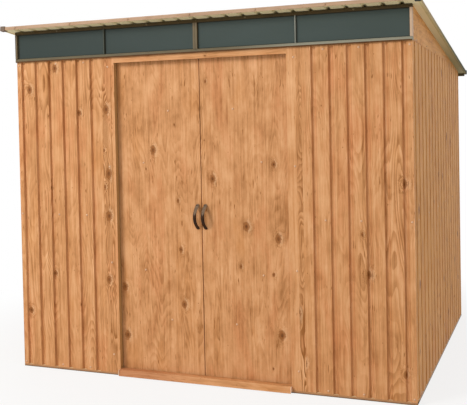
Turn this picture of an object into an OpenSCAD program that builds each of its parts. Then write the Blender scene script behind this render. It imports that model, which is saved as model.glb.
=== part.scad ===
// Metal garden shed with a single-pitch roof and two sliding doors.
// X runs along the front, Y from front to back, Z up. The origin lies on the ground, at the middle.

/* [Shed] */
// Width over the wall boards
wall_w = 2400; // [2100:10:3000]
// Depth over the wall boards
wall_d = 2000; // [1600:10:2600]
// Height of the walls, up to the window strip
wall_h = 1855; // [1700:5:2100]
// Height of the window strip over the front wall
window_h = 180; // [140:5:260]
// How much lower the back wall is than the front wall
back_drop = 43; // [20:1:60]
// Rise of the roof's underside over the back wall
eave_rise = 8; // [5:1:40]

/* [Boards pressed in the sheets] */
// Spacing of the grooves in the front, back and roof sheets
pitch = 96; // [80:1:120]
// Number of grooves in each side wall
side_grooves = 17; // [13:2:25]
// Width of a groove at its mouth
groove_w = 29; // [20:1:36]
// Width of a groove's floor
groove_floor = 15; // [8:1:18]
// Depth of a groove
groove_depth = 12; // [6:1:16]
// Thickness of the coated sheet
sheet_t = 1.5; // [1:0.1:2]

/* [Base rails] */
// Height of a base rail
base_h = 14; // [10:1:30]
// Width of the side and back base rails
base_w = 40; // [30:1:60]
// Wall of rails and tracks
rail_t = 1.5; // [1:0.1:2.5]
// Width of a wall's inside mid rail, up and down
mid_rail_h = 40; // [25:1:60]
// Depth of a wall's inside mid rail
mid_rail_d = 14; // [8:1:25]
// Leg of a corner post
post_leg = 26; // [18:1:28]

/* [Doorway] */
// Clear width between the jambs
opening_w = 1054; // [900:2:1100]
// Face width of a jamb strip
jamb_w = 82; // [50:1:90]
// Height of the board over the doors
head_h = 34; // [28:1:60]
// Top of the threshold over the ground
sill_h = 38; // [32:1:60]
// How far the threshold stands out of the wall
sill_out = 24; // [10:1:40]
// Thickness of the threshold plate
sill_t = 2; // [1:0.5:3]

/* [Sliding doors] */
// Distance from the wall's face to a door's face
door_inset = 35; // [34:1:50]
// Thickness of a door
door_t = 17; // [14:1:25]
// Gap between the closed doors
meeting_gap = 5; // [5:1:10]
// Lap of a closed door behind its jamb
jamb_lap = 14; // [8:1:30]
// Running gap between a door and its tracks
run_gap = 5.5; // [5:0.5:8]
// Side gap of a guide block in a track
guide_gap = 1; // [0.5:0.1:2]
// Gap under a bottom runner
seat_gap = 0.3; // [0.2:0.1:0.5]
// Height of a door's lower edge over the base rail
door_lift = 12; // [9:1:14]
// Height of the tracks' upstands
track_h = 16; // [12:1:20]
// How far the board over the doors hangs below the top track
head_lap = 4; // [2:1:8]
// Gap between a door's top and the top track's web
top_gap = 18; // [10:1:20]
// Width of a door's inside braces
brace_w = 36; // [24:1:60]
// Length of a guide block or runner
runner_l = 60; // [40:1:90]

/* [Handles] */
// Height of the handles' middle
handle_z = 935; // [800:5:1100]
// Distance between a handle's feet
handle_span = 122; // [100:1:180]
// How far a handle's bow stands off the door
handle_rise = 46; // [34:1:54]
// Thickness of a handle's bow
handle_d = 13; // [10:1:18]
// Distance from the door's edge to a handle's middle
handle_edge = 22; // [16:1:60]
// Diameter of a handle's foot
foot_d = 24; // [18:1:30]
// Thickness of a handle's foot
foot_t = 4; // [2:0.5:8]

/* [Windows] */
// Number of panes
panes = 4; // [2:2:6]
// Height of the lower window rail
window_sill_h = 18; // [12:1:30]
// Height of the upper window rail
window_head_h = 16; // [8:1:30]
// Width of a window's end post
window_post_w = 13; // [8:1:30]
// Width of the strip between two panes
window_strip_w = 7; // [4:1:20]
// How much wider each end pane's bay is than the others
end_bay_extra = 40; // [0:1:80]
// How far the window frame stands out of the wall
window_out = 10; // [4:1:20]
// Depth of the window frame
window_frame_d = 30; // [20:1:50]
// How far the window frame runs past each side wall
window_lap = 8; // [0:1:15]
// Thickness of a pane
pane_t = 3; // [2:0.5:6]
// Distance from the window frame's face to a pane
pane_inset = 12; // [4:1:16]

/* [Roof] */
// Overhang at the front and at the back
roof_out_y = 74; // [40:1:120]
// Overhang at each side
roof_out_x = 50; // [30:1:90]
// Height of a roof rib
rib_h = 12; // [8:1:16]
// Height of the edge trims over the roof pans
trim_h = 18; // [17:1:30]
// Width of the edge trims' top flange
trim_w = 26; // [18:1:50]
// Width of a side trim's hem under the sheet
hem_w = 12; // [8:1:20]
// Height of a roof beam
beam_h = 40; // [30:1:60]
// Width of a roof beam
beam_w = 30; // [20:1:50]
// Gap between the back roof beam and the gables' lower flanges
beam_clear = 6; // [4:1:20]
// Length of a corner cap along each edge
cap_l = 26; // [20:1:60]
// Wall of a corner cap
cap_t = 4; // [2:0.5:6]
// Width of the gables' folded flanges
flange_w = 24; // [16:1:40]
// Gap that the roof sheets rest over the gables with
roof_seat = 0.1; // [0.1:0.1:0.5]

/* [Hidden] */
$fn = 48;

// Half sizes, and the planes of the four walls
half_w = wall_w / 2;
half_d = wall_d / 2;
half_open = opening_w / 2;
front_y = -half_d;
groove_back = groove_depth + sheet_t;
sheet_top = wall_h - rail_t;
back_h = wall_h - back_drop;
side_pitch = wall_d / side_grooves;
corner_flat = groove_w;

// Rails with webs stop at the corner posts
inner_half = half_w - sheet_t - post_leg;

// Tracks: the gap that a door runs in, from the front face of the wall
track_in = door_inset - run_gap;
track_out = door_inset + door_t + run_gap;
track_depth = track_out + rail_t;
top_track_h = head_h - head_lap;
track_z = wall_h - top_track_h;

// Doors
door_w = half_open + jamb_lap - meeting_gap / 2;
door_bottom = base_h + door_lift;
door_top = wall_h - rail_t - top_gap;
door_h = door_top - door_bottom;

// Window strip
window_back = window_frame_d - window_out;
window_top = wall_h + window_h;
window_half = half_w + window_lap;

// Roof: its pans' underside passes through the window frame's inner top edge
roof_fall = window_h + back_drop - eave_rise;
roof_run = wall_d - window_back;
roof_angle = atan(roof_fall / roof_run);
roof_half = half_w + roof_out_x;
roof_front = -(roof_out_y + window_back) / cos(roof_angle);
roof_back = (roof_run + roof_out_y) / cos(roof_angle);
roof_meets_wall = window_back + window_h / tan(roof_angle);
roof_seams = 4.5 * pitch;

coat = "#c9925f";
trim = "#b9a878";
dark_trim = "#6f6a4c";
bronze = "#4a3a28";
slate = "#4b5550";
nylon = "#30302c";

// Underside of the roof at a distance y behind the front wall's face
function roof_z(y) = window_top - tan(roof_angle) * (y - window_back);

// One groove about x, as the outline's points from left to right
function groove(x, depth) = [
    [x - groove_w / 2, 0], [x - groove_floor / 2, depth],
    [x + groove_floor / 2, depth], [x + groove_w / 2, 0]
];

// Outline of a grooved sheet from x0 to x1, with grooves at the listed places
function sheet_line(x0, x1, places, depth) = concat(
    [[x0, 0]], [for (x = places) each groove(x, depth)], [[x1, 0]]
);

function shifted(points, dy) = [for (p = points) [p[0], p[1] + dy]];
function backwards(points) = [for (i = [len(points) - 1:-1:0]) points[i]];

// Groove places on the grid of the pitch, between x0 and x1
function grid(x0, x1, step) = [
    for (k = [ceil((x0 + groove_w) / step):floor((x1 - groove_w) / step)]) k * step
];

// A grooved sheet seen on its edge: face along X at y = 0, grooves towards +Y
module sheet_section(x0, x1, places, depth) {
    face = sheet_line(x0, x1, places, depth);
    polygon(concat(face, backwards(shifted(face, sheet_t))));
}

// A grooved wall that faces -Y, standing on the base rails
module wall(x0, x1, places, top) {
    translate([0, 0, base_h])
        linear_extrude(top - base_h)
            sheet_section(x0, x1, places, groove_depth);
}

module box(x0, x1, y0, y1, z0, z1) {
    translate([x0, y0, z0]) cube([x1 - x0, y1 - y0, z1 - z0]);
}

// An outline in Y and Z, drawn out from x0 to x1
module along_x(x0, x1) {
    translate([x0, 0, 0]) rotate([90, 0, 90]) linear_extrude(x1 - x0) children();
}

// An outline in X and Z, drawn out from y0 to y1
module along_y(y0, y1) {
    translate([0, y1, 0]) rotate([90, 0, 0]) linear_extrude(y1 - y0) children();
}

// Moves to the front wall's face, where y = 0
module at_front() {
    translate([0, front_y, 0]) children();
}

// Moves to the roof: x as before, y down the slope from the window frame, z off its pans' underside
module at_roof() {
    translate([0, front_y + window_back, window_top])
        rotate([-roof_angle, 0, 0]) children();
}

// A channel from y = 0, with its back on the outside and its flanges above and below
module channel_section(depth, height) {
    difference() {
        square([depth, height]);
        translate([rail_t, rail_t]) square([depth, height - 2 * rail_t]);
    }
}

// ---- Base ----

// The front base rail carries the front wall, and its two upstands are the doors' bottom track
module base_rail_front() {
    color(trim) at_front() union() {
        along_x(-half_w, half_w) channel_section(track_depth, base_h);
        for (y = [track_in - rail_t, track_out])
            box(-inner_half, inner_half, y, y + rail_t, base_h - rail_t, base_h + track_h);
    }
}

module base_rail_back() {
    color(trim) rotate([0, 0, 180])
        translate([0, -half_d, 0]) along_x(-half_w, half_w) channel_section(base_w, base_h);
}

module base_rail_side(side) {
    y0 = front_y + track_depth;
    y1 = half_d - base_w;
    color(trim) mirror([side > 0 ? 1 : 0, 0, 0])
        translate([-half_w, 0, 0]) along_y(y0, y1) channel_section(base_w, base_h);
}

// ---- Walls ----

// Groove places of the right front panel, counted in from the corner
panel_start = half_open + jamb_w;
panel_last = floor((half_w - panel_start - corner_flat - groove_w) / pitch);
panel_places = [for (k = [panel_last:-1:0]) half_w - corner_flat - groove_w / 2 - k * pitch];

module front_panel(side) {
    color(coat) mirror([side < 0 ? 1 : 0, 0, 0])
        at_front() wall(panel_start, half_w, panel_places, sheet_top);
}

// A side wall's rear end is cut to the slope, under the gable's flange
module side_wall(side) {
    edge = half_d - sheet_t;
    middle = (side_grooves - 1) / 2;
    places = [for (k = [-middle:middle]) k * side_pitch];
    cut = -roof_seat - sheet_t - seat_gap;
    color(coat) difference() {
        rotate([0, 0, side * 90])
            translate([0, -half_w, 0]) wall(-edge, edge, places, sheet_top);
        at_roof() box(-wall_w, wall_w, roof_run / 2, 2 * roof_run, cut, window_h);
    }
}

// The back wall is two sheets that meet on the middle of a board
module back_wall(side) {
    seam = pitch / 2;
    x0 = side < 0 ? -seam : -half_w;
    x1 = side < 0 ? half_w : -seam;
    color(coat) rotate([0, 0, 180])
        at_front() wall(x0, x1, grid(x0, x1, pitch), back_h - rail_t);
}

// An angle in the corner at the left end of a wall that faces -Y
module corner_post(top) {
    at_front() translate([-half_w + sheet_t, sheet_t, base_h])
        linear_extrude(top - base_h) difference() {
            square(post_leg);
            translate([rail_t, rail_t]) square(post_leg);
        }
}

module front_corner_posts() {
    color(trim) for (m = [0, 1]) mirror([m, 0, 0]) corner_post(sheet_top);
}

module back_corner_posts() {
    color(trim) for (m = [0, 1]) mirror([m, 0, 0]) mirror([0, 1, 0]) corner_post(back_h - rail_t);
}

// A rail along the inside of a wall that faces -Y, at the handles' height
module mid_rail(wall_face, half_length) {
    z0 = handle_z - mid_rail_h / 2;
    translate([0, -wall_face + groove_back, z0])
        along_x(-half_length, half_length) channel_section(mid_rail_d, mid_rail_h);
}

module side_mid_rail(side) {
    color(trim) rotate([0, 0, side * 90])
        mid_rail(half_w, half_d - groove_back - mid_rail_d - track_depth);
}

module back_mid_rail() {
    color(trim) rotate([0, 0, 180])
        mid_rail(half_d, half_w - groove_back);
}

// ---- Doorway ----

module jamb(side) {
    color(coat) mirror([side < 0 ? 1 : 0, 0, 0]) at_front() {
        x0 = half_open;
        x1 = panel_start;
        union() {
            box(x0, x1, 0, sheet_t, base_h, sheet_top);
            box(x0, x0 + sheet_t, 0, track_in - rail_t, base_h, track_z);
            box(x1 - sheet_t, x1, 0, groove_back, base_h, sheet_top);
        }
    }
}

module door_head() {
    z0 = wall_h - head_h;
    color(coat) at_front() union() {
        box(-half_open, half_open, 0, sheet_t, z0, sheet_top);
        box(-half_open, half_open, 0, groove_back, z0, z0 + sheet_t);
    }
}

module threshold() {
    back = track_in - rail_t;
    slope_in = sill_out / 2;
    color(coat) at_front() along_x(-half_open, half_open) polygon([
        [-sill_out, 3], [-slope_in, sill_h], [back, sill_h], [back, base_h],
        [back - sill_t, base_h], [back - sill_t, sill_h - sill_t],
        [-slope_in + sill_t * 0.8, sill_h - sill_t], [-sill_out + sill_t * 1.05, 3]
    ]);
}

// The front top rail caps the front wall, carries the window strip and holds the top track
module front_top_rail() {
    edge = half_w - sheet_t;
    color(trim) at_front() union() {
        box(-edge, edge, 0, track_depth, sheet_top, wall_h);
        for (y = [groove_back, track_in - rail_t, track_out])
            box(-inner_half, inner_half, y, y + rail_t, track_z, wall_h);
    }
}

// The back top rail caps the back wall and reaches up to the roof
module back_top_rail() {
    edge = half_w - sheet_t;
    web = groove_back + rail_t;
    roof_here = roof_z(wall_d - groove_back) - roof_seat;
    color(trim) rotate([0, 0, 180]) at_front() union() {
        box(-edge, edge, 0, web, back_h - rail_t, back_h);
        box(-inner_half, inner_half, groove_back, web, back_h - base_w, roof_here);
    }
}

// ---- Gables ----

// A three-cornered panel on the side wall, with a flange over the wall and one under the roof
module gable(side) {
    y0 = window_back;
    y1 = roof_meets_wall;
    y2 = wall_d - base_w;
    z0 = roof_z(y0) - roof_seat;
    z2 = roof_z(y2) - roof_seat;
    color(coat) mirror([side > 0 ? 1 : 0, 0, 0]) at_front() union() {
        along_x(-half_w, -half_w + sheet_t)
            polygon([[y0, sheet_top], [y0, z0], [y1, roof_z(y1) - roof_seat], [y1, sheet_top]]);
        along_x(-half_w, -half_w + flange_w)
            polygon([[y0, z0 - sheet_t], [y0, z0], [y2, z2], [y2, z2 - sheet_t]]);
        box(-half_w, -half_w + flange_w, track_depth, y1 - flange_w, sheet_top, wall_h);
    }
}

// ---- Window strip ----

module window_rail(z0, z1) {
    box(-window_half, window_half, -window_out, window_back, z0, z1);
}

module window_rails() {
    color(dark_trim) at_front() {
        window_rail(wall_h, wall_h + window_sill_h);
        window_rail(window_top - window_head_h, window_top);
    }
}

glass_z0 = wall_h + window_sill_h;
glass_z1 = window_top - window_head_h;
bay = (window_half - end_bay_extra) / (panes / 2);

// Two frames side by side make a double post in the middle, and strips part their panes
function bar_half(k) = k == 0 || abs(k) == panes / 2 ? window_post_w : window_strip_w / 2;
function bar_x(k) = abs(k) == panes / 2 ? sign(k) * window_half : k * bay;
function bar_left(k) = max(bar_x(k) - bar_half(k), -window_half);
function bar_right(k) = min(bar_x(k) + bar_half(k), window_half);

module window_posts() {
    color(dark_trim) at_front() for (k = [-panes / 2:panes / 2])
        box(bar_left(k), bar_right(k), -window_out, window_back, glass_z0, glass_z1);
}

module window_panes() {
    y0 = -window_out + pane_inset;
    color(slate) at_front() for (k = [-panes / 2:panes / 2 - 1])
        box(bar_right(k), bar_left(k + 1), y0, y0 + pane_t, glass_z0, glass_z1);
}

// ---- Roof ----

module roof_sheet(x0, x1) {
    color(coat) at_roof() along_y(roof_front, roof_back)
        sheet_section(x0, x1, grid(max(x0, -half_w), min(x1, half_w), pitch), rib_h);
}

// The back beam lies as far back as it clears the walls, and the front one half as far
last_beam = (window_h - beam_h - beam_clear) / sin(roof_angle) - beam_w;

// A channel beam from gable to gable, under their flanges
module roof_beam(place) {
    top = -sheet_t - 2 * roof_seat;
    color(trim) at_roof() translate([0, place, top - beam_h])
        along_x(-half_w + sheet_t, half_w - sheet_t) channel_section(beam_w, beam_h);
}

// A side trim: a lip outside the sheet's edge, a flange over it and a hem under it
module verge(side) {
    color(trim) mirror([side < 0 ? 1 : 0, 0, 0]) at_roof() along_y(roof_front, roof_back) {
        translate([roof_half, -rail_t]) square([rail_t, trim_h + rail_t]);
        translate([roof_half - trim_w, trim_h - rail_t]) square([trim_w + rail_t, rail_t]);
        translate([roof_half - hem_w, -rail_t]) square([hem_w + rail_t, rail_t]);
    }
}

// An end trim: a lip across the sheets' ends, with a flange over the ribs
module end_trim() {
    x1 = roof_half + rail_t;
    along_x(-x1, x1) {
        translate([-rail_t, -rail_t]) square([rail_t, trim_h + rail_t]);
    }
    along_x(-roof_half + trim_w, roof_half - trim_w) {
        translate([-rail_t, trim_h - rail_t]) square([trim_w, rail_t]);
    }
}

module front_fascia() {
    color(coat) at_roof() translate([0, roof_front - roof_seat, 0]) end_trim();
}

// The eave trim hangs under the pans' lower ends and leaves the ribs open
module eave_trim() {
    color(trim) at_roof() along_x(-roof_half + hem_w, roof_half - hem_w)
        translate([roof_back - trim_w, -trim_h]) {
            translate([0, trim_h - rail_t]) square([trim_w, rail_t]);
            translate([trim_w - rail_t, 0]) square([rail_t, trim_h]);
        }
}

// A cap over the corner of the trims, at the left front
module corner_cap() {
    x0 = -roof_half - rail_t;
    y0 = roof_front - rail_t - roof_seat;
    difference() {
        box(x0 - cap_t, x0 + cap_l, y0 - cap_t, y0 + cap_l, -rail_t - cap_t, trim_h + cap_t);
        box(x0, x0 + 2 * cap_l, y0, y0 + 2 * cap_l, -rail_t, trim_h);
    }
}

module back_corner_cap() {
    x0 = -roof_half - rail_t;
    y1 = roof_back;
    difference() {
        box(x0 - cap_t, x0 + cap_l, y1 - cap_l, y1 + cap_t, -rail_t - cap_t, trim_h + cap_t);
        box(x0, x0 + 2 * cap_l, y1 - 2 * cap_l, y1, -trim_h, trim_h);
    }
}

module roof_corner_caps() {
    color(nylon) at_roof() for (m = [0, 1]) mirror([m, 0, 0]) {
        corner_cap();
        back_corner_cap();
    }
}

// ---- Doors: both are drawn as the right one, from x = meeting_gap / 2 outwards ----

module door_place(side) {
    mirror([side < 0 ? 1 : 0, 0, 0])
        translate([meeting_gap / 2, front_y + door_inset, 0]) children();
}

// A flat tray with its edges folded back
module door(side) {
    color(coat) door_place(side) difference() {
        box(0, door_w, 0, door_t, door_bottom, door_top);
        box(sheet_t, door_w - sheet_t, sheet_t, door_t * 2, door_bottom + sheet_t, door_top - sheet_t);
    }
}

// Two stiles and three braces inside the tray
module door_braces(side) {
    depth = door_t - 2 * sheet_t;
    x1 = door_w - sheet_t;
    z0 = door_bottom + sheet_t;
    z1 = door_top - sheet_t;
    color(trim) door_place(side) union() {
        for (x = [sheet_t, x1 - brace_w]) box(x, x + brace_w, sheet_t, sheet_t + depth, z0, z1);
        for (z = [z0, handle_z - brace_w / 2, z1 - brace_w])
            box(sheet_t, x1, sheet_t, sheet_t + depth, z, z + brace_w);
    }
}

// Two runners under the door and two guide blocks on its top
module door_runners(side) {
    y0 = -run_gap + guide_gap;
    y1 = door_t + run_gap - guide_gap;
    z1 = wall_h - rail_t - top_gap + top_gap / 3;
    color(nylon) door_place(side) for (x = [brace_w, door_w - brace_w - runner_l]) {
        box(x, x + runner_l, y0, y1, base_h + seat_gap, door_bottom);
        box(x, x + runner_l, y0, y1, door_top, z1);
    }
}

// A bow pull: two feet on the door's face and an arc between them
module handle(side) {
    reach = handle_rise - handle_d / 2;
    bow_r = (pow(handle_span / 2, 2) + pow(reach, 2)) / (2 * reach);
    sweep = 2 * asin(handle_span / 2 / bow_r);
    color(bronze) door_place(side) translate([handle_edge, 0, handle_z]) union() {
        for (s = [-1, 1]) translate([0, 0, s * handle_span / 2])
            rotate([90, 0, 0]) cylinder(d = foot_d, h = foot_t);
        difference() {
            translate([0, bow_r - reach, 0]) rotate([0, 90, 0]) rotate([0, 0, -90 - sweep / 2])
                rotate_extrude(angle = sweep) translate([bow_r, 0]) circle(d = handle_d);
            box(-handle_span, handle_span, 0, bow_r, -handle_span, handle_span);
        }
    }
}

base_rail_front();
base_rail_back();
base_rail_side(-1);  // base_rail_left
base_rail_side(1);  // base_rail_right
front_panel(-1);  // front_wall_left
front_panel(1);  // front_wall_right
side_wall(-1);  // left_wall
side_wall(1);  // right_wall
back_wall(-1);  // back_wall_left
back_wall(1);  // back_wall_right
front_corner_posts();
back_corner_posts();
jamb(-1);  // left_jamb
jamb(1);  // right_jamb
door_head();
threshold();
front_top_rail();
back_top_rail();
side_mid_rail(-1);  // left_mid_rail
side_mid_rail(1);  // right_mid_rail
back_mid_rail();
gable(-1);  // left_gable
gable(1);  // right_gable
window_rails();
window_posts();
window_panes();
roof_beam(last_beam / 2);  // roof_beam_front
roof_beam(last_beam);  // roof_beam_back
roof_sheet(-roof_half, -roof_seams);  // roof_sheet_left
roof_sheet(-roof_seams, roof_seams);  // roof_sheet_middle
roof_sheet(roof_seams, roof_half);  // roof_sheet_right
verge(-1);  // left_verge
verge(1);  // right_verge
front_fascia();
eave_trim();
roof_corner_caps();
door(-1);  // left_door
door_braces(-1);  // left_door_braces
door_runners(-1);  // left_door_runners
handle(-1);  // left_handle
door(1);  // right_door
door_braces(1);  // right_door_braces
door_runners(1);  // right_door_runners
handle(1);  // right_handle
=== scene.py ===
import math

import bmesh
import bpy
from mathutils import Matrix, Vector


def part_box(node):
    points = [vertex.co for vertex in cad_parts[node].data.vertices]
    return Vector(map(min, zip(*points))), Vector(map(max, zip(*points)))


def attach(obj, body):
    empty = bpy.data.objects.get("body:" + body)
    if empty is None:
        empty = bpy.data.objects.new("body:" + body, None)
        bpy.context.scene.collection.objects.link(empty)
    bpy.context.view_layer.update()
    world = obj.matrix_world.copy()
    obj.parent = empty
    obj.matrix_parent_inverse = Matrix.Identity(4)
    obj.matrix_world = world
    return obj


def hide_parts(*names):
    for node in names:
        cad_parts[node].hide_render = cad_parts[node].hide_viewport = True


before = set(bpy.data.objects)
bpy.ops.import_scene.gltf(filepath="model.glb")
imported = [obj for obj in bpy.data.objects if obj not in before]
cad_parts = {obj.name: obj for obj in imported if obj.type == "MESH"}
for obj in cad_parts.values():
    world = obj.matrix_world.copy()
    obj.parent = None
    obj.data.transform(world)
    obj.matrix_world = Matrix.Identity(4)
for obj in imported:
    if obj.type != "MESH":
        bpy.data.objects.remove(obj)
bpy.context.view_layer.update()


MM = 0.001


# ---- Places, from the frame ----

FRONT = Vector((0, -1, 0))
OUTSIDE = {"front": FRONT, "back": -FRONT, "left": Vector((-1, 0, 0)), "right": Vector((1, 0, 0)),
           "roof": Vector((0, 0, 1)), "ground": Vector((0, 0, -1))}

panel_low, panel_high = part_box("front_wall_right")
WALL_Y = panel_low.y
WALL_TOP = panel_high.z
WALL_BOTTOM = panel_low.z
PANEL_X = panel_low.x
SIDE_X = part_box("right_wall")[1].x
BACK_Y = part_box("back_wall_left")[1].y
BACK_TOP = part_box("back_wall_left")[1].z
OPENING_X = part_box("right_jamb")[0].x
strip_low, strip_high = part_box("window_rails")
pane_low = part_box("window_panes")[0]
posts_low, posts_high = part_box("window_posts")
PITCH = 96 * MM


# ---- Camera and lamps ----

# The viewpoint: to the right of the doors, at eye height, looking in to the left
EYE = Vector((1.861, WALL_Y - 3.928, 1.413))
YAW, PITCH_DOWN, ROLL = -0.350, -0.023, -0.019
SENSOR_MM = 36
LENS_MM = 59.8972
SHIFT = (-0.078, -0.116)

# One large soft lamp, high in front on the left, and an even level from every side
KEY_PLACE = Vector((-4.5, WALL_Y - 6.0, 5.5))
KEY_AIM = Vector((0, WALL_Y, 1.0))
KEY_SIZE = 3.0
KEY_POWER = 400
AMBIENT = 0.66


def make_camera():
    data = bpy.data.cameras.new("camera")
    data.sensor_width = SENSOR_MM
    data.lens = LENS_MM
    data.shift_x, data.shift_y = SHIFT
    camera = bpy.data.objects.new("camera", data)
    bpy.context.scene.collection.objects.link(camera)
    ahead = Vector((math.sin(YAW) * math.cos(PITCH_DOWN),
                    math.cos(YAW) * math.cos(PITCH_DOWN), math.sin(PITCH_DOWN)))
    level = Vector((math.cos(YAW), -math.sin(YAW), 0))
    upright = level.cross(ahead)
    right = math.cos(ROLL) * level + math.sin(ROLL) * upright
    up = right.cross(ahead)
    turn = Matrix((right, up, -ahead)).transposed()
    camera.matrix_world = Matrix.Translation(EYE) @ turn.to_4x4()
    bpy.context.scene.camera = camera


def area_light(name, place, target, size, power):
    data = bpy.data.lights.new(name, "AREA")
    data.shape = "DISK"
    data.size = size
    data.energy = power
    lamp = bpy.data.objects.new(name, data)
    bpy.context.scene.collection.objects.link(lamp)
    aim = target - place
    lamp.matrix_world = Matrix.Translation(place) @ aim.to_track_quat("-Z", "Y").to_matrix().to_4x4()


make_camera()
bpy.context.scene.view_settings.view_transform = "Standard"


# ---- Node trees ----

def linear(code):
    """An sRGB hex colour as linear red, green, blue and alpha."""
    parts = [int(code[i:i + 2], 16) / 255 for i in (1, 3, 5)]
    return tuple(c / 12.92 if c <= 0.04045 else ((c + 0.055) / 1.055) ** 2.4 for c in parts) + (1,)


def add(tree, kind, settings=None, **links):
    """Adds one node: settings are its properties, and links its inputs, by name or by number as in_0."""
    made = tree.nodes.new("ShaderNode" + kind)
    for key, value in (settings or {}).items():
        setattr(made, key, value)
    for key, value in links.items():
        place = int(key[3:]) if key.startswith("in_") else key.replace("_", " ")
        socket = made.inputs[place]
        if isinstance(value, bpy.types.NodeSocket):
            tree.links.new(value, socket)
        else:
            socket.default_value = value
    return made


def ramp(tree, value, stops):
    """A run of colours over a value: stops are places and hex codes."""
    made = add(tree, "ValToRGB", None, Fac=value)
    band = made.color_ramp
    while len(band.elements) < len(stops):
        band.elements.new(0.5)
    for element, (place, colour) in zip(band.elements, stops):
        element.position = place
        element.color = linear(colour)
    return made.outputs["Color"]


def calc(tree, operation, a, b=0.0, c=0.0):
    return add(tree, "Math", {"operation": operation}, in_0=a, in_1=b, in_2=c).outputs[0]


def fade(tree, value, start, end, low=0.0, high=1.0):
    """A smooth step of value from start to end, as low to high."""
    return add(tree, "MapRange", {"interpolation_type": "SMOOTHSTEP"},
               Value=value, in_1=start, in_2=end, in_3=low, in_4=high).outputs[0]


def blend(tree, share, under, over, how="MIX"):
    """Two colours, or a colour and a hex code, mixed by a share."""
    pair = [linear(c) if isinstance(c, str) else c for c in (under, over)]
    return add(tree, "MixRGB", {"blend_type": how}, Fac=share, Color1=pair[0], Color2=pair[1]).outputs[0]


def places(tree):
    """The object's own X, Y and Z, in metres."""
    return add(tree, "SeparateXYZ", None, Vector=add(tree, "TexCoord").outputs["Object"]).outputs


def facing(tree, direction):
    """How far the true surface faces a direction: 1 straight at it, and -1 straight away."""
    normal = add(tree, "NewGeometry").outputs["True Normal"]
    made = add(tree, "VectorMath", {"operation": "DOT_PRODUCT"}, in_0=normal, in_1=direction)
    return made.outputs["Value"]


def blank_material(name):
    material = bpy.data.materials.new(name)
    material.use_nodes = True
    tree = material.node_tree
    tree.nodes.clear()
    shader = add(tree, "BsdfPrincipled")
    add(tree, "OutputMaterial", None, Surface=shader.outputs[0])
    return material, tree, shader


# ---- Materials ----

# The print's own directions on a sheet: two that run across the grain, and the one along it
GRAIN = {"upright": ("X", "Y", "Z"), "level": ("Z", "Y", "X"), "roof": ("X", "Z", "Y")}
BACK_COAT = "#C5B48C"

# How wide and how long each kind of mark in the print is, in millimetres. The finest streaks are
# drawn 4.5 mm wide, which is wider than the ink's own grain, so that they show
MARKS = {"knots": (190, 270), "growth": (110, 620), "boards": (75, 2600), "calm": (300, 550),
         "streaks": (14, 550), "fine": (4.5, 120), "patches": (85, 170), "hue": (120, 500),
         "nicks": (7, 55), "worn": (90, 220)}
KNOT_GRIT = 9 * MM

# Growth lines in one turn of their field, how fast the field rises across the grain, how far a
# knot pushes it up, and how fast that push dies away
GROWTH_LINES = 17.0
LINE_SLOPE = 1.6
KNOT_PUSH = 0.16
PUSH_FALL = -30.0

# The print's inks over the wood's own three tones, and the colour of the shade painted on the grooves'
# slopes
INK = {"rose": "#F4C0A4", "honey": "#F0DCB0", "pale side": "#EFC092", "knot": "#945A28",
       "ring": "#80491B", "core": "#5E3110", "painted_groove_shade": "#8A4E1C", "ochre edge": "#A88A54"}

# How much each kind of mark lightens or darkens the print
WEIGHT = {"streaks": 0.85, "lines": -0.75, "fine": 0.28, "nicks": -0.55, "figure": 0.20, "halo": -0.12,
          "level": -0.10, "outer board": -0.15, "inner board": 0.06}


def cells(tree, across, along, width, length, seed=0.0):
    """The sheet's coordinates in cells of the given width and length, set off by a seed."""
    shift_u, shift_v = 1.37 * seed, 0.73 * seed
    u = calc(tree, "MULTIPLY_ADD", across, 1 / width, shift_u)
    v = calc(tree, "MULTIPLY_ADD", along, 1 / length, shift_v)
    return add(tree, "CombineXYZ", None, X=u, Y=v, Z=seed).outputs[0]


def noise(tree, vector, detail=2.0, rough=0.5):
    made = add(tree, "TexNoise", None, Vector=vector, Scale=1.0, Detail=detail, Roughness=rough)
    return made.outputs["Fac"]


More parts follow.
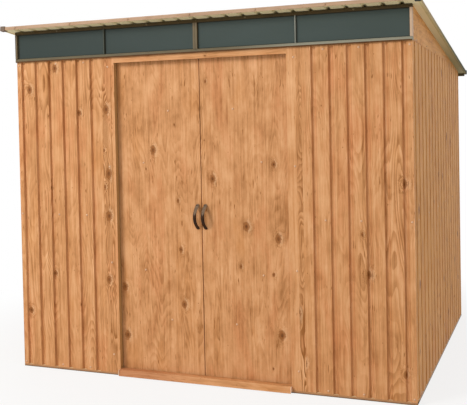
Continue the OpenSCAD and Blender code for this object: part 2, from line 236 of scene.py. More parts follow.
def wood_print(name, outward, run="upright", dark="#96602F", mid="#CE9360", light="#ECB888",
               figure=0.35, knots=1.0, seed=0.0, size=1.0, mottle=0.60, split=None, under=BACK_COAT):
    """Coil-coated steel sheet printed with pine, satin from the rollers: fine streaks along the grain,
    growth lines that close into long arches, brown ringed knots and slow changes from honey to rose.
    The sheet's other face has only a plain sand-coloured backing coat. Outside the two places in split
    the print is a darker figured board, between them it is a smooth one, and its returns are ochre."""
    material, tree, shader = blank_material(name)
    axes = places(tree)
    first, second, along = (axes[axis] for axis in GRAIN[run])
    across = calc(tree, "ADD", first, second)

    outer = 1.0
    if split:
        first_board = fade(tree, axes["X"], split[0] + 2 * MM, split[0] - 2 * MM)
        last_board = fade(tree, axes["X"], split[1] - 2 * MM, split[1] + 2 * MM)
        outer = calc(tree, "MAXIMUM", first_board, last_board)

    def spread(kind, offset, scale=1.0):
        width, length = (extent * MM * scale for extent in MARKS[kind])
        return cells(tree, across, along, width, length, seed + offset)

    # Knots: one in each cell, if its random number lets it
    spots = spread("knots", 0.0, size)
    cell = add(tree, "TexVoronoi", {"voronoi_dimensions": "2D"}, Vector=spots, Scale=1.0, Randomness=0.9)
    reach = cell.outputs["Distance"]
    chance = add(tree, "SeparateColor", None, Color=cell.outputs["Color"]).outputs
    radius = calc(tree, "MULTIPLY", fade(tree, chance[0], 0.45, 1.0, 0.0, 0.075 * knots), outer)
    whole = add(tree, "TexCoord").outputs["Object"]
    blot = add(tree, "TexNoise", None, Vector=whole, Scale=1 / KNOT_GRIT, Detail=3.0).outputs["Fac"]
    ragged = calc(tree, "MULTIPLY_ADD", blot, 1.1, 0.45)
    rim = calc(tree, "DIVIDE", calc(tree, "MULTIPLY", reach, ragged), calc(tree, "MAXIMUM", radius, 0.006))
    centre = cell.outputs["Position"]
    away = add(tree, "VectorMath", {"operation": "SUBTRACT"}, in_0=spots, in_1=centre).outputs[0]
    rightward = (20.0, 3.0, 0.0)
    lean = add(tree, "VectorMath", {"operation": "DOT_PRODUCT"}, in_0=away, in_1=rightward).outputs["Value"]
    knot = fade(tree, rim, 1.15, 0.80)
    core = fade(tree, rim, 0.80, 0.25)
    ring = calc(tree, "MULTIPLY", fade(tree, rim, 0.80, 1.0), fade(tree, rim, 1.5, 1.1))
    halo = fade(tree, rim, 4.0, 1.0)

    # Growth lines: level lines of a long soft field, wrapped round the knots, closer where it is figured
    field = noise(tree, spread("growth", 2.3, size), 1.0)
    near = calc(tree, "EXPONENT", calc(tree, "MULTIPLY", calc(tree, "POWER", reach, 2.0), PUSH_FALL))
    field = calc(tree, "MULTIPLY_ADD", near, calc(tree, "MULTIPLY", halo, KNOT_PUSH), field)
    field = calc(tree, "MULTIPLY_ADD", across, LINE_SLOPE / size, field)
    phase = calc(tree, "FRACT", calc(tree, "MULTIPLY", field, GROWTH_LINES))
    lines = calc(tree, "MULTIPLY", fade(tree, phase, 0.15, 0.85), fade(tree, phase, 1.0, 0.92))
    boards = noise(tree, spread("boards", 3.1), 1.0)
    figured = fade(tree, boards, 0.44, 0.62, figure * 0.35, figure)
    calm = fade(tree, noise(tree, spread("calm", 4.4)), 0.38, 0.60, 0.35, 1.0)
    figured = calc(tree, "MULTIPLY", figured, calm)
    figured = calc(tree, "MULTIPLY", figured, calc(tree, "MULTIPLY_ADD", outer, 0.9, 0.1))

    # Streaks, and patches of colour
    wide = noise(tree, spread("streaks", 1.7), 4.0, 0.70)
    fine = noise(tree, spread("fine", 5.2), 2.0, 0.6)
    patch = noise(tree, spread("patches", 7.9), 4.0, 0.65)
    hue = noise(tree, spread("hue", 9.3), 3.0, 0.6)
    nick = noise(tree, spread("nicks", 12.1), 1.0, 0.5)
    worn = noise(tree, spread("worn", 14.6), 2.0, 0.6)
    nicks = calc(tree, "MULTIPLY", fade(tree, nick, 0.66, 0.74), fade(tree, worn, 0.50, 0.62))

    # Every mark adds its share to one tone, which runs from dark to light wood
    tone = calc(tree, "MULTIPLY_ADD", wide, WEIGHT["streaks"], 0.05 - mottle / 2)
    tone = calc(tree, "MULTIPLY_ADD", patch, mottle, tone)
    tone = calc(tree, "MULTIPLY_ADD", calc(tree, "MULTIPLY", lines, figured), WEIGHT["lines"], tone)
    for mark, kind in ((fine, "fine"), (nicks, "nicks"), (figured, "figure"), (halo, "halo")):
        tone = calc(tree, "MULTIPLY_ADD", mark, WEIGHT[kind], tone)
    tone = calc(tree, "ADD", tone, WEIGHT["level"])
    if split:
        board = calc(tree, "MULTIPLY_ADD", outer, WEIGHT["outer board"], WEIGHT["inner board"])
        tone = calc(tree, "ADD", tone, board)
    wood = ramp(tree, tone, [(0.12, dark), (0.50, mid), (0.88, light)])

    # Slow changes of hue, then each knot's pale side, body, ring and core
    wood = blend(tree, fade(tree, hue, 0.50, 0.72, 0.0, 0.26), wood, INK["rose"], "MULTIPLY")
    wood = blend(tree, fade(tree, hue, 0.48, 0.28, 0.0, 0.35), wood, INK["honey"], "MULTIPLY")
    crescent = calc(tree, "MULTIPLY", fade(tree, rim, 2.6, 1.4), fade(tree, lean, 0.1, 1.2))
    wood = blend(tree, calc(tree, "MULTIPLY", crescent, 0.40), wood, INK["pale side"])
    speck = fade(tree, blot, 0.35, 0.65, 0.45, 0.85)
    wood = blend(tree, calc(tree, "MULTIPLY", knot, 0.85), wood, INK["knot"])
    wood = blend(tree, calc(tree, "MULTIPLY", ring, 0.60), wood, INK["ring"])
    wood = blend(tree, calc(tree, "MULTIPLY", core, speck), wood, INK["core"])

    # The grooves' slopes, which turn away from the front, carry painted shade in a darker brown, and a
    # jamb's returns are ochre
    out = facing(tree, outward)
    painted_groove_shade = calc(tree, "MULTIPLY", fade(tree, out, 0.97, 0.75), fade(tree, out, 0.05, 0.25))
    wood = blend(tree, calc(tree, "MULTIPLY", painted_groove_shade, 0.18), wood, INK["painted_groove_shade"])
    if split:
        edge = fade(tree, calc(tree, "ABSOLUTE", out), 0.4, 0.1, 0.0, 0.65)
        wood = blend(tree, edge, wood, INK["ochre edge"])
    colour = blend(tree, fade(tree, out, -0.05, -0.25), wood, under)
    tree.links.new(colour, shader.inputs["Base Color"])

    tree.links.new(fade(tree, fine, 0.2, 0.8, 0.50, 0.62), shader.inputs["Roughness"])
    bump = add(tree, "Bump", None, Strength=0.25, Distance=0.4 * MM, Height=fine)
    tree.links.new(bump.outputs[0], shader.inputs["Normal"])
    shader.inputs["Specular IOR Level"].default_value = 0.16
    return material


COAT_MOTTLE = 90 * MM


def coated(name, base, shade, roughness=0.45, grain=6 * MM, shine=0.3):
    """Powder-coated or painted steel: one even colour with a faint mottle, and the fine orange-peel
    tooth that a baked coat has."""
    material, tree, shader = blank_material(name)
    place = add(tree, "TexCoord").outputs["Object"]
    mottle = add(tree, "TexNoise", None, Vector=place, Scale=1 / COAT_MOTTLE, Detail=3.0,
                 Roughness=0.6).outputs["Fac"]
    peel = add(tree, "TexNoise", None, Vector=place, Scale=1 / grain, Detail=2.0).outputs["Fac"]
    tree.links.new(ramp(tree, mottle, [(0.30, shade), (0.70, base)]), shader.inputs["Base Color"])
    rough = add(tree, "MapRange", None, Value=mottle, in_1=0.3, in_2=0.7, in_3=roughness - 0.05,
                in_4=roughness + 0.05)
    tree.links.new(rough.outputs[0], shader.inputs["Roughness"])
    bump = add(tree, "Bump", None, Strength=0.15, Distance=0.2 * MM, Height=peel)
    tree.links.new(bump.outputs[0], shader.inputs["Normal"])
    shader.inputs["Specular IOR Level"].default_value = shine
    return material


def colour_of(material):
    """A material's tree, the socket that takes its colour, and what feeds that socket."""
    tree = material.node_tree
    shader = next(node for node in tree.nodes if node.type == "BSDF_PRINCIPLED")
    socket = shader.inputs["Base Color"]
    return tree, socket, socket.links[0].from_socket


def shaded_along(material, axis, start, end, colour, share=1.0):
    """Tints a material towards a colour from one place on an axis to another."""
    tree, socket, under = colour_of(material)
    amount = fade(tree, places(tree)[axis], start, end, 0.0, share)
    tree.links.new(blend(tree, amount, under, colour), socket)


def shaded_facing(material, direction, colour, share=1.0, along=None):
    """Tints the faces of a material that look in one direction, and if along is given, only from one
    place on its axis to another."""
    tree, socket, under = colour_of(material)
    amount = fade(tree, facing(tree, direction), 0.6, 0.9, 0.0, share)
    if along:
        axis, start, end = along
        amount = calc(tree, "MULTIPLY", amount, fade(tree, places(tree)[axis], start, end))
    tree.links.new(blend(tree, amount, under, colour), socket)


def verge_coat(side):
    """The verge's coat: rose tan at the front that turns to dark olive towards the back, paler on the hem
    beneath."""
    material = coated("cream_olive_verge_" + side, "#DDD2A0", "#D0C592", shine=0.08, roughness=0.6)
    tree, socket, under = colour_of(material)
    # A share from the front to the back, where the coat is drawn darker olive
    darker_back = fade(tree, places(tree)["Y"], WALL_Y, BACK_Y)
    lip = ramp(tree, darker_back, [(0.0, "#B8A078"), (0.4, "#7C744C"), (1.0, "#4A4A30")])
    hem = blend(tree, calc(tree, "MULTIPLY", darker_back, 0.85), under, "#7A7650")
    share = fade(tree, facing(tree, OUTSIDE["ground"]), 0.8, 0.5)
    tree.links.new(blend(tree, share, hem, lip), socket)
    return material


RUBBED = 18 * MM


def antique_bronze():
    """Cast zinc with an antique bronze plating: dark brown, rubbed paler in patches, with a painted
    highlight on the faces that look up and to the front.
    """
    material, tree, shader = blank_material("antique_bronze")
    place = add(tree, "TexCoord").outputs["Object"]
    rubbed = add(tree, "TexNoise", None, Vector=place, Scale=1 / RUBBED, Detail=3.0).outputs["Fac"]
    # Painted highlight: the faces that look up and to the front are drawn paler
    upper = fade(tree, facing(tree, Vector((0.25, -0.55, 0.8)).normalized()), 0.35, 1.0)
    share = calc(tree, "MULTIPLY_ADD", rubbed, 0.3, calc(tree, "MULTIPLY", upper, 0.75))
    tree.links.new(ramp(tree, share, [(0.15, "#2C1602"), (0.60, "#3E240C"), (1.0, "#86705A")]),
                   shader.inputs["Base Color"])
    tree.links.new(fade(tree, rubbed, 0.3, 0.7, 0.38, 0.52), shader.inputs["Roughness"])
    bump = add(tree, "Bump", None, Strength=0.2, Distance=0.2 * MM, Height=rubbed)
    tree.links.new(bump.outputs[0], shader.inputs["Normal"])
    shader.inputs["Metallic"].default_value = 0.10
    shader.inputs["Specular IOR Level"].default_value = 0.20
    return material


DUST = 4 * MM
SHEET_WAVE = (0.35, 0.12)


def smoked_sheet():
    """Slate-green acrylic window sheet, extruded and smooth: even, dark and half glossy, with only the
    faint long waves of its making."""
    material, tree, shader = blank_material("slate_green_acrylic")
    axes = places(tree)
    wave = noise(tree, cells(tree, axes["X"], axes["Z"], *SHEET_WAVE, 4.0), 1.0)
    whole = add(tree, "TexCoord").outputs["Object"]
    dust = add(tree, "TexNoise", None, Vector=whole, Scale=1 / DUST).outputs["Fac"]
    tree.links.new(ramp(tree, wave, [(0.3, "#444E4A"), (0.7, "#47514E")]), shader.inputs["Base Color"])
    tree.links.new(fade(tree, dust, 0.3, 0.7, 0.36, 0.44), shader.inputs["Roughness"])
    bump = add(tree, "Bump", None, Strength=0.05, Distance=0.3 * MM, Height=wave)
    tree.links.new(bump.outputs[0], shader.inputs["Normal"])
    shader.inputs["Specular IOR Level"].default_value = 0.08
    return material


# The printed sheets. The side walls' pine is a little more golden than the front's, the doors' is
# the most clouded, and the jambs' is a narrow board with tight knots beside a smooth one
SIDE_PINE = {"dark": "#A86C34", "mid": "#D89A56", "light": "#F0B87A"}
GABLE_PINE = {"dark": "#AC6C34", "mid": "#DA9C56", "light": "#EEB678"}
FASCIA_PINE = {"dark": "#9E7C60", "mid": "#B59478", "light": "#C8AB90"}
JAMB_W = PANEL_X - OPENING_X
JAMB_SPLIT = (-OPENING_X - 0.20 * JAMB_W, OPENING_X + 0.62 * JAMB_W)

WALL_PRINT = {
    "front": wood_print("printed_coil_coat_front", OUTSIDE["front"], seed=0.0),
    "back": wood_print("printed_coil_coat_back", OUTSIDE["back"], seed=21.0),
    "left": wood_print("printed_coil_coat_left", OUTSIDE["left"], seed=33.0, **SIDE_PINE),
    "right": wood_print("printed_coil_coat_right", OUTSIDE["right"], seed=47.5, **SIDE_PINE),
}
DOOR_PRINT = wood_print("printed_coil_coat_doors", FRONT, figure=0.20, knots=1.15, seed=11.3, mottle=0.95,
                        mid="#CC9260", light="#E6B080")
JAMB_PRINT = wood_print("printed_coil_coat_jambs", FRONT, figure=0.95, knots=2.1, seed=5.6, size=0.6,
                        split=JAMB_SPLIT)
GABLE_PRINT = {side: wood_print("printed_coil_coat_gable_" + side, OUTSIDE[side], run="roof", figure=0.30,
                                knots=0.0, seed=62.0, **GABLE_PINE)
               for side in ("left", "right")}
HEAD_PRINT = wood_print("printed_coil_coat_head", FRONT, run="level", figure=0.45, knots=0.5, seed=71.0)
SILL_PRINT = wood_print("printed_coil_coat_sill", FRONT, run="level", figure=0.3, knots=0.0, seed=75.0)
FASCIA_PRINT = wood_print("printed_coil_coat_fascia", FRONT, run="level", figure=0.12, knots=0.0, seed=81.0,
                          **FASCIA_PINE)
# The roof's backing coat is drawn paler than the walls': painted light, which lifts the underside of the
# overhang out of its shade
ROOF_PRINT = wood_print("printed_coil_coat_roof", OUTSIDE["roof"], run="roof", seed=91.0, under="#EBDFB4")

# The threshold reddens towards its left end, and the roof's underside turns olive towards the back
shaded_along(SILL_PRINT, "X", 0.3 * OPENING_X, -OPENING_X, "#B06F4C", 0.55)
shaded_facing(ROOF_PRINT, OUTSIDE["ground"], "#8A8654", 0.85, ("Y", WALL_Y + 0.1, BACK_Y - 0.2))

# Powder-coated and painted steel: frames in sand, rails in tan with a pale upper face that is a painted
# highlight and a dark foot that is painted shade, trims in olives and greys that are even, half matt and
# quiet beside the print
SAND_COAT = coated("sand_powder_coat", "#C9B98A", "#BFAE7F")
VERGE_COAT = {side: verge_coat(side) for side in ("left", "right")}
RAIL_COAT = coated("tan_coat_rails", "#B5855A", "#A77850")
# Painted highlight on the rails' faces that look up, and painted shade along their foot by the floor
shaded_facing(RAIL_COAT, OUTSIDE["roof"], "#E2CCA0")
shaded_along(RAIL_COAT, "Z", 7 * MM, 3 * MM, "#5E4A36", 0.85)
DARK_TRIM = coated("aged_olive_eave_trim", "#6A6446", "#5C573C")
OLIVE_COAT = coated("olive_powder_coat", "#6C5E42", "#5F5138")
POST_COAT = coated("olive_tan_powder_coat", "#756448", "#68573C")
shaded_along(POST_COAT, "X", 5 * MM - SIDE_X, 1 * MM - SIDE_X, "#3A2C18", 0.9)
STRIP_GREY = coated("slate_grey_powder_coat", "#4A4E44", "#42463C", shine=0.15)
# The head rail's coat is drawn dark olive brown: painted shade, for the shadow that the roof's overhang
# casts on it
HEAD_RAIL_SHADE = coated("olive_head_rail_painted_shade", "#4E3F24", "#44361E", roughness=0.6, shine=0.15)
# The drip lip is real, and its dark brown is painted shade, for the shadow under the lower rail
DRIP_LIP_SHADE = coated("brown_lip_painted_shade", "#5E3E1E", "#523418", roughness=0.6, shine=0.15)
PALE_OLIVE = coated("pale_olive_powder_coat", "#665A3E", "#5C5036")
shaded_along(PALE_OLIVE, "X", 0.1, 0.7, "#8F8C7A", 0.9)
# The right end post is drawn pale rose beige: painted light, for the light it catches from the right, while
# the other posts are olive
RIGHT_POST_LIGHT = coated("rose_beige_post_painted_light", "#CBAC90", "#C0A082")

# The right glazing strip is drawn pale grey: painted light, for the light it catches, while the left strip
# is dark slate. It is smoother than the coats, so its light is tighter
STRIP_PAINTED_LIGHT = coated("grey_strip_painted_light", "#8A8B80", "#7E8076", roughness=0.35)

# Extruded rubber and moulded nylon: dull and near black, the nylon browner towards the left
RUBBER = coated("black_brown_rubber", "#3A3A30", "#32322A", roughness=0.7, shine=0.1)
BLACK_NYLON = coated("dark_slate_nylon", "#3E4640", "#343B36", roughness=0.6)
shaded_along(BLACK_NYLON, "X", 0.5, -0.5, "#6E5A48")

SLATE = smoked_sheet()
# Painted shade: the panes are drawn darker towards the left, where the key lamp lights them more
shaded_along(SLATE, "X", 0.6, -SIDE_X, "#363F3C", 0.85)
BRONZE = antique_bronze()

# Sheared steel ends under a thin pale lacquer, and tan lacquered screw heads that catch the light
CUT_END = coated("pale_rose_cut_steel", "#F0D0B4", "#E0BC9C", roughness=0.4, grain=3 * MM)
SCREW_HEAD = coated("tan_lacquered_steel", "#E2B892", "#D2A680", roughness=0.35, grain=2 * MM, shine=0.5)


def dress(names, material):
    """Gives the CAD's own pieces a finish."""
    for name in names:
        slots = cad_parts[name].data.materials
        slots.clear()
        slots.append(material)


for side in ("front", "back"):
    dress([side + "_wall_left", side + "_wall_right"], WALL_PRINT[side])
for side in ("left", "right"):
    dress([side + "_wall"], WALL_PRINT[side])
    dress([side + "_gable"], GABLE_PRINT[side])
    dress([side + "_verge"], VERGE_COAT[side])
dress(["left_jamb", "right_jamb"], JAMB_PRINT)
dress(["left_door", "right_door"], DOOR_PRINT)
dress(["door_head"], HEAD_PRINT)
dress(["threshold"], SILL_PRINT)
dress(["front_fascia"], FASCIA_PRINT)
dress(["roof_sheet_left", "roof_sheet_middle", "roof_sheet_right"], ROOF_PRINT)
dress(["base_rail_front", "base_rail_back", "base_rail_left", "base_rail_right"], RAIL_COAT)
dress(["eave_trim"], DARK_TRIM)
dress(["front_corner_posts", "back_corner_posts", "front_top_rail", "back_top_rail", "left_mid_rail",
       "right_mid_rail", "back_mid_rail", "roof_beam_front", "roof_beam_back",
       "left_door_braces", "right_door_braces"], SAND_COAT)
dress(["window_panes"], SLATE)
dress(["roof_corner_caps", "left_door_runners", "right_door_runners"], BLACK_NYLON)


# ---- Making pieces ----

def piece(name, mesh_maker, material, body, smooth=False):
    """A new piece from a bmesh, riding on a body and taking its finish from a slot."""
    shape = bmesh.new()
    mesh_maker(shape)
    bmesh.ops.recalc_face_normals(shape, faces=shape.faces)
    mesh = bpy.data.meshes.new(name)
    shape.to_mesh(mesh)
    shape.free()
    for face in mesh.polygons:
        face.use_smooth = smooth
    made = bpy.data.objects.new(name, mesh)
    bpy.context.scene.collection.objects.link(made)
    mesh.materials.append(material)
    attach(made, body)
    return made


def rounded_edges(made, width):
    """Rounds a piece's sharp edges with a bevel."""
    bevel = made.modifiers.new("rounded", "BEVEL")
    bevel.width = width
    bevel.segments = 2
    bevel.limit_method = "ANGLE"
    bevel.angle_limit = math.radians(40)


def add_skin(shape, rings):
    """Joins each ring of vertices to the next, and closes the first and the last."""
    for low, high in zip(rings, rings[1:]):
        for k in range(len(low)):
            j = (k + 1) % len(low)
            shape.faces.new((low[k], low[j], high[j], high[k]))
    shape.faces.new(rings[0])
    shape.faces.new(rings[-1])


def add_prism(shape, outline, start, end):
    """An outline of points, drawn straight from start to end: both are functions of a point."""
    add_skin(shape, [[shape.verts.new(place(p)) for p in outline] for place in (start, end)])


def bar_along_x(outline, x0, x1):
    """A bar whose outline is in Y and Z."""
    return lambda shape: add_prism(shape, outline, lambda p: (x0, *p), lambda p: (x1, *p))


def bars_upright(outlines, z0, z1):
    """Upright bars whose outlines are in X and Y."""
    def make(shape):
        for outline in outlines:
            add_prism(shape, outline, lambda p: (*p, z0), lambda p: (*p, z1))
    return make


TURNED_SIDES = 12


def add_turned(shape, profile, place, normal):
    """A turned form: profile gives radius and height, place and normal its foot and its axis."""
    turn = normal.to_track_quat("Z", "Y").to_matrix()
    rings = []
    for radius, height in profile:
        ring = [Vector((radius * math.cos(a), radius * math.sin(a), height))
                for a in (math.tau * k / TURNED_SIDES for k in range(TURNED_SIDES))]
        rings.append([shape.verts.new(place + turn @ p) for p in ring])
    add_skin(shape, rings)


# A tapping screw's radius and height, from its washer to the top of its head. A flange and six
# sides would be too fine to read, so the head is a low dome
SCREW = [(6.0 * MM, 0.0), (6.0 * MM, 1.0 * MM), (4.6 * MM, 1.2 * MM), (4.4 * MM, 2.2 * MM),
         (3.4 * MM, 3.3 * MM), (1.6 * MM, 3.9 * MM)]


def screws(name, body, spots, normal, material=SCREW_HEAD):
    """A row of screw heads as one mesh."""
    def make(shape):
        for spot in spots:
            add_turned(shape, SCREW, Vector(spot), normal)
    return piece(name, make, material, body, smooth=True)


# ---- Window strip ----

WINDOW_FACE = strip_low.y
WINDOW_BACK = strip_high.y
SILL_Z = strip_low.z
HEAD_Z = strip_high.z
GLASS_Z0 = posts_low.z
GLASS_Z1 = posts_high.z
PANE_FACE = pane_low.y
END_X = SIDE_X + 3 * MM

# The glass step lies behind the frame's face, and each rail slopes back to it
BEAD = 3 * MM
STEP_Y = WINDOW_FACE + BEAD
SLOPE_START = 5 * MM
SLOPE_END = 2 * MM

LIP_DROP = 3 * MM
LIP_RISE = 4 * MM
LIP_PROUD = 0.4 * MM
LIP_DEPTH = 2 * MM

# An end pane is wider than an inner one, and a narrow strip covers the joint between them
END_PANE_EXTRA = 40 * MM
STRIP_X = (strip_high.x - END_PANE_EXTRA) / 2
STRIP_HALF = 3.5 * MM
POST_W = 13 * MM
POST_JOINT = 0.5 * MM
FRAME_ROUND = 0.8 * MM

GASKET = 3.5 * MM
END_GASKET = 9 * MM
GASKET_PROUD = 1.7 * MM
HAIR = 0.1 * MM


def frame_bar(name, shape, material):
    """One rounded bar of the window frame."""
    made = piece(name, shape, material, "shell")
    rounded_edges(made, FRAME_ROUND)
    return made


def window_rails():
    """A lower rail with its drip lip, and a head rail, each sloped back to the glass step."""
    face, back = WINDOW_FACE, WINDOW_BACK
    sill = [(face, SILL_Z), (face, GLASS_Z0 - SLOPE_START), (STEP_Y, GLASS_Z0 - SLOPE_END),
            (STEP_Y, GLASS_Z0), (back, GLASS_Z0), (back, SILL_Z)]
    head = [(face, GLASS_Z1 + SLOPE_START), (face, HEAD_Z), (back, HEAD_Z), (back, GLASS_Z1),
            (STEP_Y, GLASS_Z1), (STEP_Y, GLASS_Z1 + SLOPE_END)]
    outer, inner = face - LIP_PROUD, face + LIP_DEPTH
    lip = [(outer, SILL_Z - LIP_DROP), (outer, SILL_Z + LIP_RISE),
           (inner, SILL_Z + LIP_RISE + LIP_DEPTH), (inner, SILL_Z - LIP_DROP)]
    lip_x = END_X - 2 * MM
    lower = frame_bar("window_rail_lower", bar_along_x(sill, -END_X, END_X), PALE_OLIVE)
    frame_bar("window_rail_upper", bar_along_x(head, -END_X, END_X), HEAD_RAIL_SHADE)
    frame_bar("window_drip_lip", bar_along_x(lip, -lip_x, lip_x), DRIP_LIP_SHADE)
    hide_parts("window_rails")


def window_posts():
    """End posts, a double post in the middle, and a narrow strip between each two panes."""
    face, back = WINDOW_FACE, WINDOW_BACK

    def post(x0, x1):
        return [(x0, face), (x1, face), (x1, back), (x0, back)]

    def strip(x):
        foot, top = STRIP_HALF, STRIP_HALF - 1 * MM
        return [(x - foot, STEP_Y), (x - top, face), (x + top, face), (x + foot, STEP_Y),
                (x + foot, back), (x - foot, back)]

    rows = {
        "window_post_left": ([post(-END_X, -END_X + POST_W)], POST_COAT),
        "window_posts_middle": ([post(-POST_W, -POST_JOINT), post(POST_JOINT, POST_W)], OLIVE_COAT),
        "window_strip_left": ([strip(-STRIP_X)], STRIP_GREY),
        "window_strip_right": ([strip(STRIP_X)], STRIP_PAINTED_LIGHT),
        "window_post_right": ([post(END_X - POST_W, END_X)], RIGHT_POST_LIGHT),
    }
    posts = [frame_bar(name, bars_upright(outlines, GLASS_Z0, GLASS_Z1), material)
             for name, (outlines, material) in rows.items()]
    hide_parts("window_posts")


def window_gaskets():
    """A dark rubber gasket round every pane, wider at the strip's left end."""
    bars = [-END_X, -STRIP_X, 0.0, STRIP_X, END_X]
    halves = [POST_W, STRIP_HALF, POST_W, STRIP_HALF, POST_W]
    front, rear = PANE_FACE - GASKET_PROUD, PANE_FACE - HAIR
    z0, z1 = GLASS_Z0, GLASS_Z1

    def make(shape):
        for k in range(len(bars) - 1):
            x0 = bars[k] + halves[k]
            x1 = bars[k + 1] - halves[k + 1]
            wide = END_GASKET if k == 0 else GASKET
            edges = [((x0, z0), (x1, z0 + GASKET)), ((x0, z1 - GASKET), (x1, z1)),
                     ((x0, z0 + GASKET), (x0 + wide, z1 - GASKET)),
                     ((x1 - GASKET, z0 + GASKET), (x1, z1 - GASKET))]
            for (left, low), (right, high) in edges:
                outline = [(left, low), (right, low), (right, high), (left, high)]
                add_prism(shape, outline, lambda p: (p[0], front, p[1]), lambda p: (p[0], rear, p[1]))
    rounded_edges(piece("window_gaskets", make, RUBBER, "shell"), 0.6 * MM)


def window_screws():
    """A screw in the head rail over each pane."""
    screw_z = (HEAD_Z + GLASS_Z1) / 2 + 1 * MM
    heads = [(k * END_X / 4, WINDOW_FACE - HAIR, screw_z) for k in (-3, -1, 1, 3)]
    screws("window_head_screws", "shell", heads, FRONT, OLIVE_COAT)


# ---- Handles ----

BOW_THICK = 6.5 * MM
BOW_HALF_WIDTH = 9.8 * MM
LEAF_SPREAD = 2.6 * MM
BOW_STATIONS = 44
BOW_SIDES = 18
# The bow reaches the door at 1 / FOOT_SHARE of the way from its middle to an end
FOOT_SHARE = 1.12


def handle(side):
    """A bow pull with leaf-shaped feet: broad and flat where it is screwed on, narrower over the bow."""
    low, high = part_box(side + "_handle")
    middle = (low + high) / 2
    half = (high.z - low.z) / 2 - 0.5 * MM
    seat = high.y
    rise = high.y - low.y - BOW_THICK

    def offset(share):
        """How far the bow stands off the door, at a share of the way from its middle to an end."""
        return rise * max(0.0, 1 - abs(share * FOOT_SHARE) ** 2.3) ** 1.15

    def ring(share):
        """The bow's section, which broadens and thins to a leaf and then closes to its tip."""
        step = 0.01
        slope = (offset(share + step) - offset(share - step)) / (2 * step * half)
        leaf = max(0.0, (abs(share) - 0.45) / 0.55)
        tip = max(0.0, (abs(share) - 0.80) / 0.20)
        width = (BOW_HALF_WIDTH + LEAF_SPREAD * leaf ** 1.5) * math.sqrt(max(0.02, 1 - tip ** 2.4))
        depth = BOW_THICK * (1 - 0.35 * leaf) * math.sqrt(max(0.05, 1 - tip ** 3))
        across = Vector((width, 0, 0))
        out = Vector((0, -1, slope)).normalized() * depth
        centre = Vector((middle.x, seat - depth - offset(share), middle.z + share * half))
        return [centre + across * math.cos(a) + out * math.sin(a)
                for a in (math.tau * k / BOW_SIDES for k in range(BOW_SIDES))]

    def make(shape):
        shares = (2 * k / BOW_STATIONS - 1 for k in range(BOW_STATIONS + 1))
        add_skin(shape, [[shape.verts.new(p) for p in ring(share)] for share in shares])

    made = piece(side + "_bow_handle", make, BRONZE, side + "_leaf", smooth=True)
    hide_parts(side + "_handle")


# ---- Screws ----

# Rows over the base rail and the mid rail, how far under a wall's top the head row is, and how far
# over it the gable's row is
FOOT_ROW = WALL_BOTTOM + 16 * MM
MIDDLE_ROW = 935 * MM
HEAD_ROW = 20 * MM
GABLE_ROW = 12 * MM
# Columns: a board's middle from its panel's edge, a post's from the corner, a jamb's from the doorway
BOARD_MIDDLE = 26 * MM
POST_MIDDLE = 14 * MM
JAMB_MIDDLE = 41 * MM
JAMB_ROWS = (0.12, 0.66, 1.22, 1.80)
SIDE_GROOVES = 17
# The doors' screws over their braces: how far out from the middle of the shed, and how high
DOOR_SPOTS = [(0.20, 1.536), (0.364, 1.241), (0.364, 0.62), (0.20, 0.34)]


def wall_screws():
    """Screw heads where the wall sheets and jambs are fixed to posts and rails."""
    rows = (FOOT_ROW, MIDDLE_ROW, WALL_TOP - HEAD_ROW)
    columns = [PANEL_X + BOARD_MIDDLE + k * PITCH for k in (1, 3)] + [SIDE_X - POST_MIDDLE]
    front = [(sign * x, WALL_Y, z) for sign in (-1, 1) for x in columns for z in rows]
    jambs = [(sign * (OPENING_X + JAMB_MIDDLE), WALL_Y, z) for sign in (-1, 1) for z in JAMB_ROWS]
    screws("front_wall_screws", "shell", front + jambs, FRONT)

    ridges = [WALL_Y + (BACK_Y - WALL_Y) * k / SIDE_GROOVES for k in range(1, SIDE_GROOVES, 3)]
    for side, sign in (("left", -1), ("right", 1)):
        spots = [(sign * SIDE_X, y, z) for y in ridges for z in (FOOT_ROW, MIDDLE_ROW)]
        spots += [(sign * SIDE_X, y, WALL_TOP + GABLE_ROW) for y in ridges[:4]]
        screws(side + "_wall_screws", "shell", spots, OUTSIDE[side])
    back = [((k + 0.5) * PITCH, BACK_Y, z) for k in range(-11, 11, 3)
            for z in (FOOT_ROW, MIDDLE_ROW, BACK_TOP - HEAD_ROW)]
    screws("back_wall_screws", "shell", back, OUTSIDE["back"])


def door_screws():
    """Screw heads where each door's face is fixed to its braces."""
    for side, sign in (("left", -1), ("right", 1)):
        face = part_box(side + "_door")[0].y
        spots = [(sign * x, face, z) for x, z in DOOR_SPOTS]
        screws(side + "_door_screws", side + "_leaf", spots, FRONT)


def fascia_screws():
    """Small heads along the middle of the fascia, coated with it."""
    low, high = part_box("front_fascia")
    middle_z = (low.z + high.z) / 2
    spots = [(k * 4 * PITCH, low.y + 0.6 * MM, middle_z) for k in range(-3, 4)]
    screws("fascia_screws", "shell", spots, FRONT, FASCIA_PRINT)


ROOF_RIB = 12 * MM
SHEET_T = 1.5 * MM
ROOF_ROWS = (0.05, 0.34, 0.63, 0.95)


def on_roof(x, share, lift):
    """A point over the roof: share runs from the front edge to the back edge, lift is off the pans."""
    low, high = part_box("roof_sheet_middle")
    rib = ROOF_RIB + SHEET_T
    fall = high.z - low.z - rib
    return Vector((x, low.y + (high.y - low.y) * share, high.z - rib - fall * share + lift))


def roof_screws():
    """Screws with sealing washers on the roof's ribs, over the beams, the head and the eave."""
    slope = (on_roof(0, 1, 0) - on_roof(0, 0, 0)).normalized()
    normal = OUTSIDE["right"].cross(slope)
    lift = ROOF_RIB + 0.5 * MM
    spots = [on_roof(k * PITCH, share, lift) for k in range(-12, 13, 2) for share in ROOF_ROWS]
    screws("roof_screws", "shell", spots, normal, SCREW_HEAD)


# ---- Hems, laps and cut ends ----

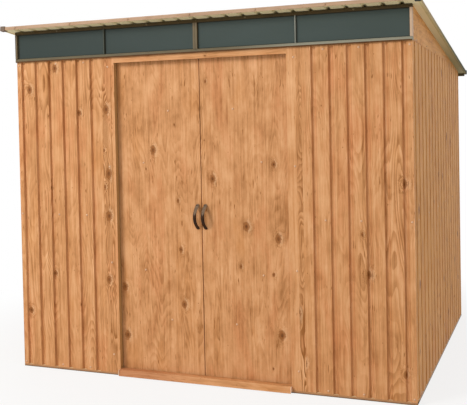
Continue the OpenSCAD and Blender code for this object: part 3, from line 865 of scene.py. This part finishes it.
LAP_T = 1.2 * MM
LAP_H = 9 * MM
LAP_START = 20 * MM
LAP_END = 1.62
LAP_TAPER = 60 * MM
FOLD_W = 9 * MM
FOLD_T = 0.8 * MM


def gable_laps():
    """The folded lip along each gable's foot, which tapers off before the wall is cut to the roof."""
    start, end = WALL_Y + LAP_START, WALL_Y + LAP_END
    outline = [(start, WALL_TOP), (start, WALL_TOP + LAP_H), (end, WALL_TOP + LAP_H),
               (end + LAP_TAPER, WALL_TOP)]
    for side, sign in (("left", -1), ("right", 1)):
        lap = bar_along_x(outline, sign * SIDE_X, sign * (SIDE_X + LAP_T))
        rounded_edges(piece(side + "_gable_lap", lap, GABLE_PRINT[side], "shell"), 0.5 * MM)


def door_folds():
    """A standing fold down each door's meeting edge."""
    for side, sign in (("left", -1), ("right", 1)):
        low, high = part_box(side + "_door")
        x0 = low.x if side == "right" else high.x
        x1 = x0 + sign * FOLD_W
        top = low.y - FOLD_T
        outline = [(x0, low.y), (x0, top), (x1 - sign * 2 * MM, top), (x1, low.y)]
        bar = bars_upright([outline], low.z + 2 * MM, high.z - 2 * MM)
        fold = piece(side + "_door_fold", bar, DOOR_PRINT, side + "_leaf")
        rounded_edges(fold, 0.3 * MM)


def softened_trims():
    """Rounded edges on the pressed trims, the panes, the moulded caps and the guide blocks."""
    widths = {"threshold": 0.8, "roof_corner_caps": 1.2, "window_panes": 0.5,
              "left_door_runners": 0.8, "right_door_runners": 0.8}
    widths |= {"base_rail_" + side: 0.4 for side in ("front", "back", "left", "right")}
    for name, width in widths.items():
        rounded_edges(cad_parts[name], width * MM)


def threshold_ends():
    """The threshold's bare cut ends, as thin pale plates."""
    low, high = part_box("threshold")
    nose, rear = low.y + 1 * MM, low.y + 24 * MM
    foot = low.z + 5 * MM
    outline = [(nose, foot), (rear, foot), (rear, high.z - 2 * MM),
               (nose + 6 * MM, high.z - 1 * MM), (nose, high.z - 6 * MM)]
    for side, sign, x in (("left", -1, low.x), ("right", 1, high.x)):
        bar = bar_along_x(outline, x - sign * 1 * MM, x + sign * 2.5 * MM)
        rounded_edges(piece("threshold_end_" + side, bar, CUT_END, "shell"), 0.8 * MM)


softened_trims()
window_rails()
window_posts()
window_gaskets()
window_screws()
threshold_ends()
handle("left")
handle("right")
wall_screws()
door_screws()
fascia_screws()
roof_screws()
gable_laps()
door_folds()


# ---- Stage ----

# The floor lies a hair under the rails. It is nearly white close to the shed, so that a faint
# shadow stays, and wholly white from a few metres off
FLOOR_HALF = 60
FLOOR_Z = -0.5 * MM
SHADOW_RUN = (1.5, 2.9)
WHITE_NEAR = 0.80


def seen_directly(tree):
    """1 for a ray from the camera, or one through or off a glossy surface, and 0 for the rest."""
    path = add(tree, "LightPath").outputs
    through = calc(tree, "MAXIMUM", path["Is Glossy Ray"], path["Is Transmission Ray"])
    return calc(tree, "MAXIMUM", path["Is Camera Ray"], through)


def make_floor():
    """A wide pale floor that shows as white far off and keeps the shed's shadow near it."""
    mesh = bpy.data.meshes.new("floor")
    corners = [(-1, -1), (1, -1), (1, 1), (-1, 1)]
    mesh.from_pydata([(x * FLOOR_HALF, y * FLOOR_HALF, FLOOR_Z) for x, y in corners], [], [(0, 1, 2, 3)])
    floor = bpy.data.objects.new("floor", mesh)
    bpy.context.scene.collection.objects.link(floor)
    material = bpy.data.materials.new("pale_floor")
    material.use_nodes = True
    tree = material.node_tree
    tree.nodes.clear()
    plain = add(tree, "BsdfDiffuse", None, Color=linear("#E8E6E2")).outputs[0]
    white = add(tree, "Emission", None, Color=(1, 1, 1, 1), Strength=1.0).outputs[0]
    place = add(tree, "TexCoord").outputs["Object"]
    distance = add(tree, "VectorMath", {"operation": "LENGTH"}, in_0=place).outputs["Value"]
    whiteness = fade(tree, distance, *SHADOW_RUN, WHITE_NEAR, 1.0)
    share = calc(tree, "MULTIPLY", seen_directly(tree), whiteness)
    mixed = add(tree, "MixShader", None, Fac=share, in_1=plain, in_2=white).outputs[0]
    add(tree, "OutputMaterial", None, Surface=mixed)
    mesh.materials.append(material)


def make_world():
    """White to the eye and in reflections, and a plain soft level for everything else."""
    world = bpy.data.worlds.new("studio")
    bpy.context.scene.world = world
    world.use_nodes = True
    tree = world.node_tree
    tree.nodes.clear()
    seen = seen_directly(tree)
    strength = add(tree, "MapRange", None, Value=seen, in_3=AMBIENT, in_4=1.0).outputs[0]
    sky = add(tree, "Background", None, Color=(1, 1, 1, 1), Strength=strength).outputs[0]
    add(tree, "OutputWorld", None, Surface=sky)


make_floor()
make_world()
area_light("key_light", KEY_PLACE, KEY_AIM, KEY_SIZE, KEY_POWER)
